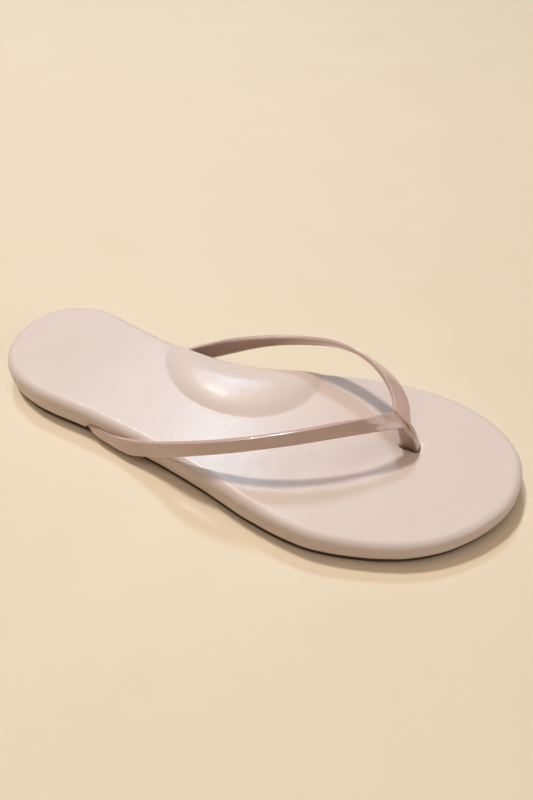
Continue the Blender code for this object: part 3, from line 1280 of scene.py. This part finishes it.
@dataclass(frozen=True)
class Studio:
    """Plain pale floor, soft lamps, and a camera at the photograph's angle."""

    effects: Effects
    floor_cloud: Cloud = Cloud(tone(236, 217, 189), tone(233, 213, 184), pitch=60.0)
    floor_marks: Marks = Marks(smooth=0.6, rough=0.75, pitch=40.0)
    floor_width: float = 6.0
    sky: Colour = (1.0, 0.86, 0.72, 1.0)
    sky_strength: float = 0.03
    lamps: tuple[Lamp, ...] = (
        Lamp("lamp_ceiling", (0.0, 0.04, 1.0), 1.6, 13.0, (1.0, 0.82, 0.68)),
        Lamp("lamp_gleam", (-0.15, -0.35, 1.0), 1.6, 9.0, (1.0, 0.86, 0.76)),
        Lamp("lamp_main", (-0.4, 0.2, 1.0), 0.2, 28.5, (1.0, 1.0, 0.96)),
        Lamp("lamp_cool", (-0.36, 0.6, 1.0), 0.26, 16.5, (0.5, 0.75, 1.0)),
        Lamp("lamp_front", (0.85, -0.12, 0.5), 1.2, 7.5, (0.94, 0.97, 1.0)),
    )
    camera_place: tuple[float, float, float] = (0.0854191, -0.15948845, 0.23596392)
    azimuth: float = 24.07
    elevation: float = 49.93
    roll: float = -0.94
    lens: float = 27.75
    sensor: float = 36.0
    nearest: float = 0.001

    def set_up(self) -> None:
        """Makes the floor, the lamps, the sky and the camera."""
        self.lay_floor()
        for lamp in self.lamps:
            self.hang(lamp)
        self.light_sky()
        self.place_camera()
        bpy.context.scene.view_settings.view_transform = "Standard"

    def lay_floor(self) -> None:
        """Makes the floor, a square level with the sole, and dresses it."""
        half = self.floor_width / 2
        mesh = bpy.data.meshes.new("floor")
        mesh.from_pydata([(-half, -half, 0), (half, -half, 0), (half, half, 0), (-half, half, 0)], [], [(0, 1, 2, 3)])
        floor = bpy.data.objects.new("floor", mesh)
        bpy.context.scene.collection.objects.link(floor)
        sheet = MaterialSheet("pale_floor", self.effects)
        inputs = {"Base Color": sheet.colour(self.floor_cloud), "Roughness": sheet.roughness(self.floor_marks)}
        mesh.materials.append(sheet.shade(inputs))

    def hang(self, lamp: Lamp) -> None:
        """Makes one lamp, a square area light that faces the sandal.

        Args:
            lamp: The lamp's place, size and light.
        """
        data = bpy.data.lights.new(lamp.name, "AREA")
        data.size = lamp.width
        data.energy = lamp.power
        data.color = lamp.tint
        held = bpy.data.objects.new(lamp.name, data)
        towards = Vector(lamp.towards).normalized()
        held.location = towards * lamp.distance
        held.rotation_euler = towards.to_track_quat("Z", "Y").to_euler()
        bpy.context.scene.collection.objects.link(held)

    def light_sky(self) -> None:
        """Makes an even sky that fills the shadows."""
        world = bpy.data.worlds.new("studio_sky")
        world.use_nodes = True
        sheet = NodeSheet(world.node_tree)
        back = sheet.add("ShaderNodeBackground", {"Color": self.sky, "Strength": self.sky_strength})
        sheet.add("ShaderNodeOutputWorld", {"Surface": back.outputs[0]})
        bpy.context.scene.world = world

    def place_camera(self) -> None:
        """Makes the camera: azimuth, elevation and roll give its axes, and its lens the frame's angle."""
        azimuth, elevation, roll = np.radians([self.azimuth, self.elevation, self.roll])
        back = np.array(
            [np.sin(azimuth) * np.cos(elevation), -np.cos(azimuth) * np.cos(elevation), np.sin(elevation)]
        )
        level = np.array([np.cos(azimuth), np.sin(azimuth), 0.0])
        upright = np.cross(back, level)
        right = np.cos(roll) * level + np.sin(roll) * upright
        top = -np.sin(roll) * level + np.cos(roll) * upright
        turned = np.eye(4)
        turned[:3, :3] = np.column_stack([right, top, back])
        turned[:3, 3] = self.camera_place
        data = bpy.data.cameras.new("camera")
        data.sensor_width = self.sensor
        data.lens = self.lens
        data.clip_start = self.nearest
        camera = bpy.data.objects.new("camera", data)
        camera.matrix_world = Matrix(turned.tolist())
        bpy.context.scene.collection.objects.link(camera)
        bpy.context.scene.camera = camera


LATERAL_CREASES = (
    Crease((1.8, -2.8), (6.5, -1.2), 1.1, 0.09),
    Crease((3.0, 0.8), (7.5, 1.6), 1.0, 0.05),
    Crease((9.0, -2.0), (15.0, -1.0), 1.2, 0.05),
)
MEDIAL_CREASES = (
    Crease((1.8, -2.6), (6.0, -1.2), 1.0, 0.1),
    Crease((2.6, 0.9), (7.5, 0.3), 1.0, 0.08),
    Crease((8.5, 1.9), (14.0, 1.2), 1.1, 0.06),
)
LATERAL_ROWS = (
    StrapRow(-76.7, -28.7, -7.0, 28.0, 8.5, 0.0),
    StrapRow(-67.7, -30.7, -0.5, 30.0, 8.5, 0.0),
    StrapRow(-60.7, -32.3, 4.4, 28.0, 8.5, 0.0),
    StrapRow(-48.7, -34.3, 6.4, 22.0, 8.5, 0.0),
    StrapRow(-28.7, -35.4, 13.7, 8.0, 8.5, 0.0),
    StrapRow(-8.3, -36.2, 25.8, 2.0, 8.2, 0.0),
    StrapRow(13.7, -31.1, 33.7, 2.0, 7.8, 0.0),
    StrapRow(33.6, -21.3, 36.7, 8.0, 7.4, 0.0),
    StrapRow(53.4, -7.4, 36.5, 23.0, 6.9, 0.0),
    StrapRow(65.3, 2.4, 34.7, 46.0, 6.8, -8.0),
    StrapRow(71.9, 9.0, 32.4, 66.0, 7.6, -33.5),
)
MEDIAL_ROWS = (
    StrapRow(-64.7, 23.5, -5.8, 0.0, 8.5, 0.0),
    StrapRow(-40.7, 30.2, 6.3, -2.0, 8.5, 0.0),
    StrapRow(-27.0, 30.2, 15.6, 0.0, 8.5, 0.0),
    StrapRow(-12.7, 30.7, 24.3, 5.0, 8.3, 0.0),
    StrapRow(1.7, 34.7, 28.6, 16.0, 8.0, 0.0),
    StrapRow(17.8, 37.5, 32.2, 26.0, 7.8, 0.0),
    StrapRow(34.7, 36.8, 36.4, 36.0, 7.5, 0.0),
    StrapRow(50.2, 32.0, 37.8, 45.0, 7.2, 0.0),
    StrapRow(62.3, 25.3, 35.5, 57.0, 7.8, 0.0),
    StrapRow(68.7, 17.8, 33.6, 63.0, 8.0, -7.0),
    StrapRow(72.1, 9.0, 32.3, 65.0, 8.0, -36.0),
)
POST_ROWS = (
    PostRow(76.0, 10.4, 22.3, 3.6, 8.0),
    PostRow(78.1, 11.7, 13.3, 4.0, 0.0),
    PostRow(78.7, 11.6, 5.0, 4.0, 0.0),
)


def clear_scene() -> None:
    """Removes what the file starts with."""
    for old in list(bpy.data.objects):
        bpy.data.objects.remove(old, do_unlink=True)


def main() -> None:
    """Loads the frame, builds and dresses each piece, and sets the studio."""
    logging.basicConfig(level=logging.INFO, format="%(name)s: %(message)s")
    clear_scene()
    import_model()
    effects = Effects()
    plan = SolePlan()
    exits = (Exit(Side.LATERAL, start=-65.2, end=-56.7), Exit(Side.MEDIAL, start=-54.7, end=-46.7))
    profile = BandProfile()
    straps = (
        Strap(Side.LATERAL, LATERAL_ROWS, POST_ROWS, setback=1.55, creases=LATERAL_CREASES, profile=profile),
        Strap(Side.MEDIAL, MEDIAL_ROWS, POST_ROWS, setback=1.1, creases=MEDIAL_CREASES, profile=profile),
    )
    for assembly in (
        Outsole(plan, Tread(), RubberFinish(effects)),
        Footbed(plan, ArchPad(), ToeSlot(), exits, LeatherFinish(effects)),
        StrapUpper(straps, PatentFinish(effects)),
    ):
        piece = assembly.build()
        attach(piece, "root")
        piece.data.calc_loop_triangles()
        log.info("%s: %d triangles", piece.name, len(piece.data.loop_triangles))
    Studio(effects).set_up()


if __name__ == "__main__":
    main()
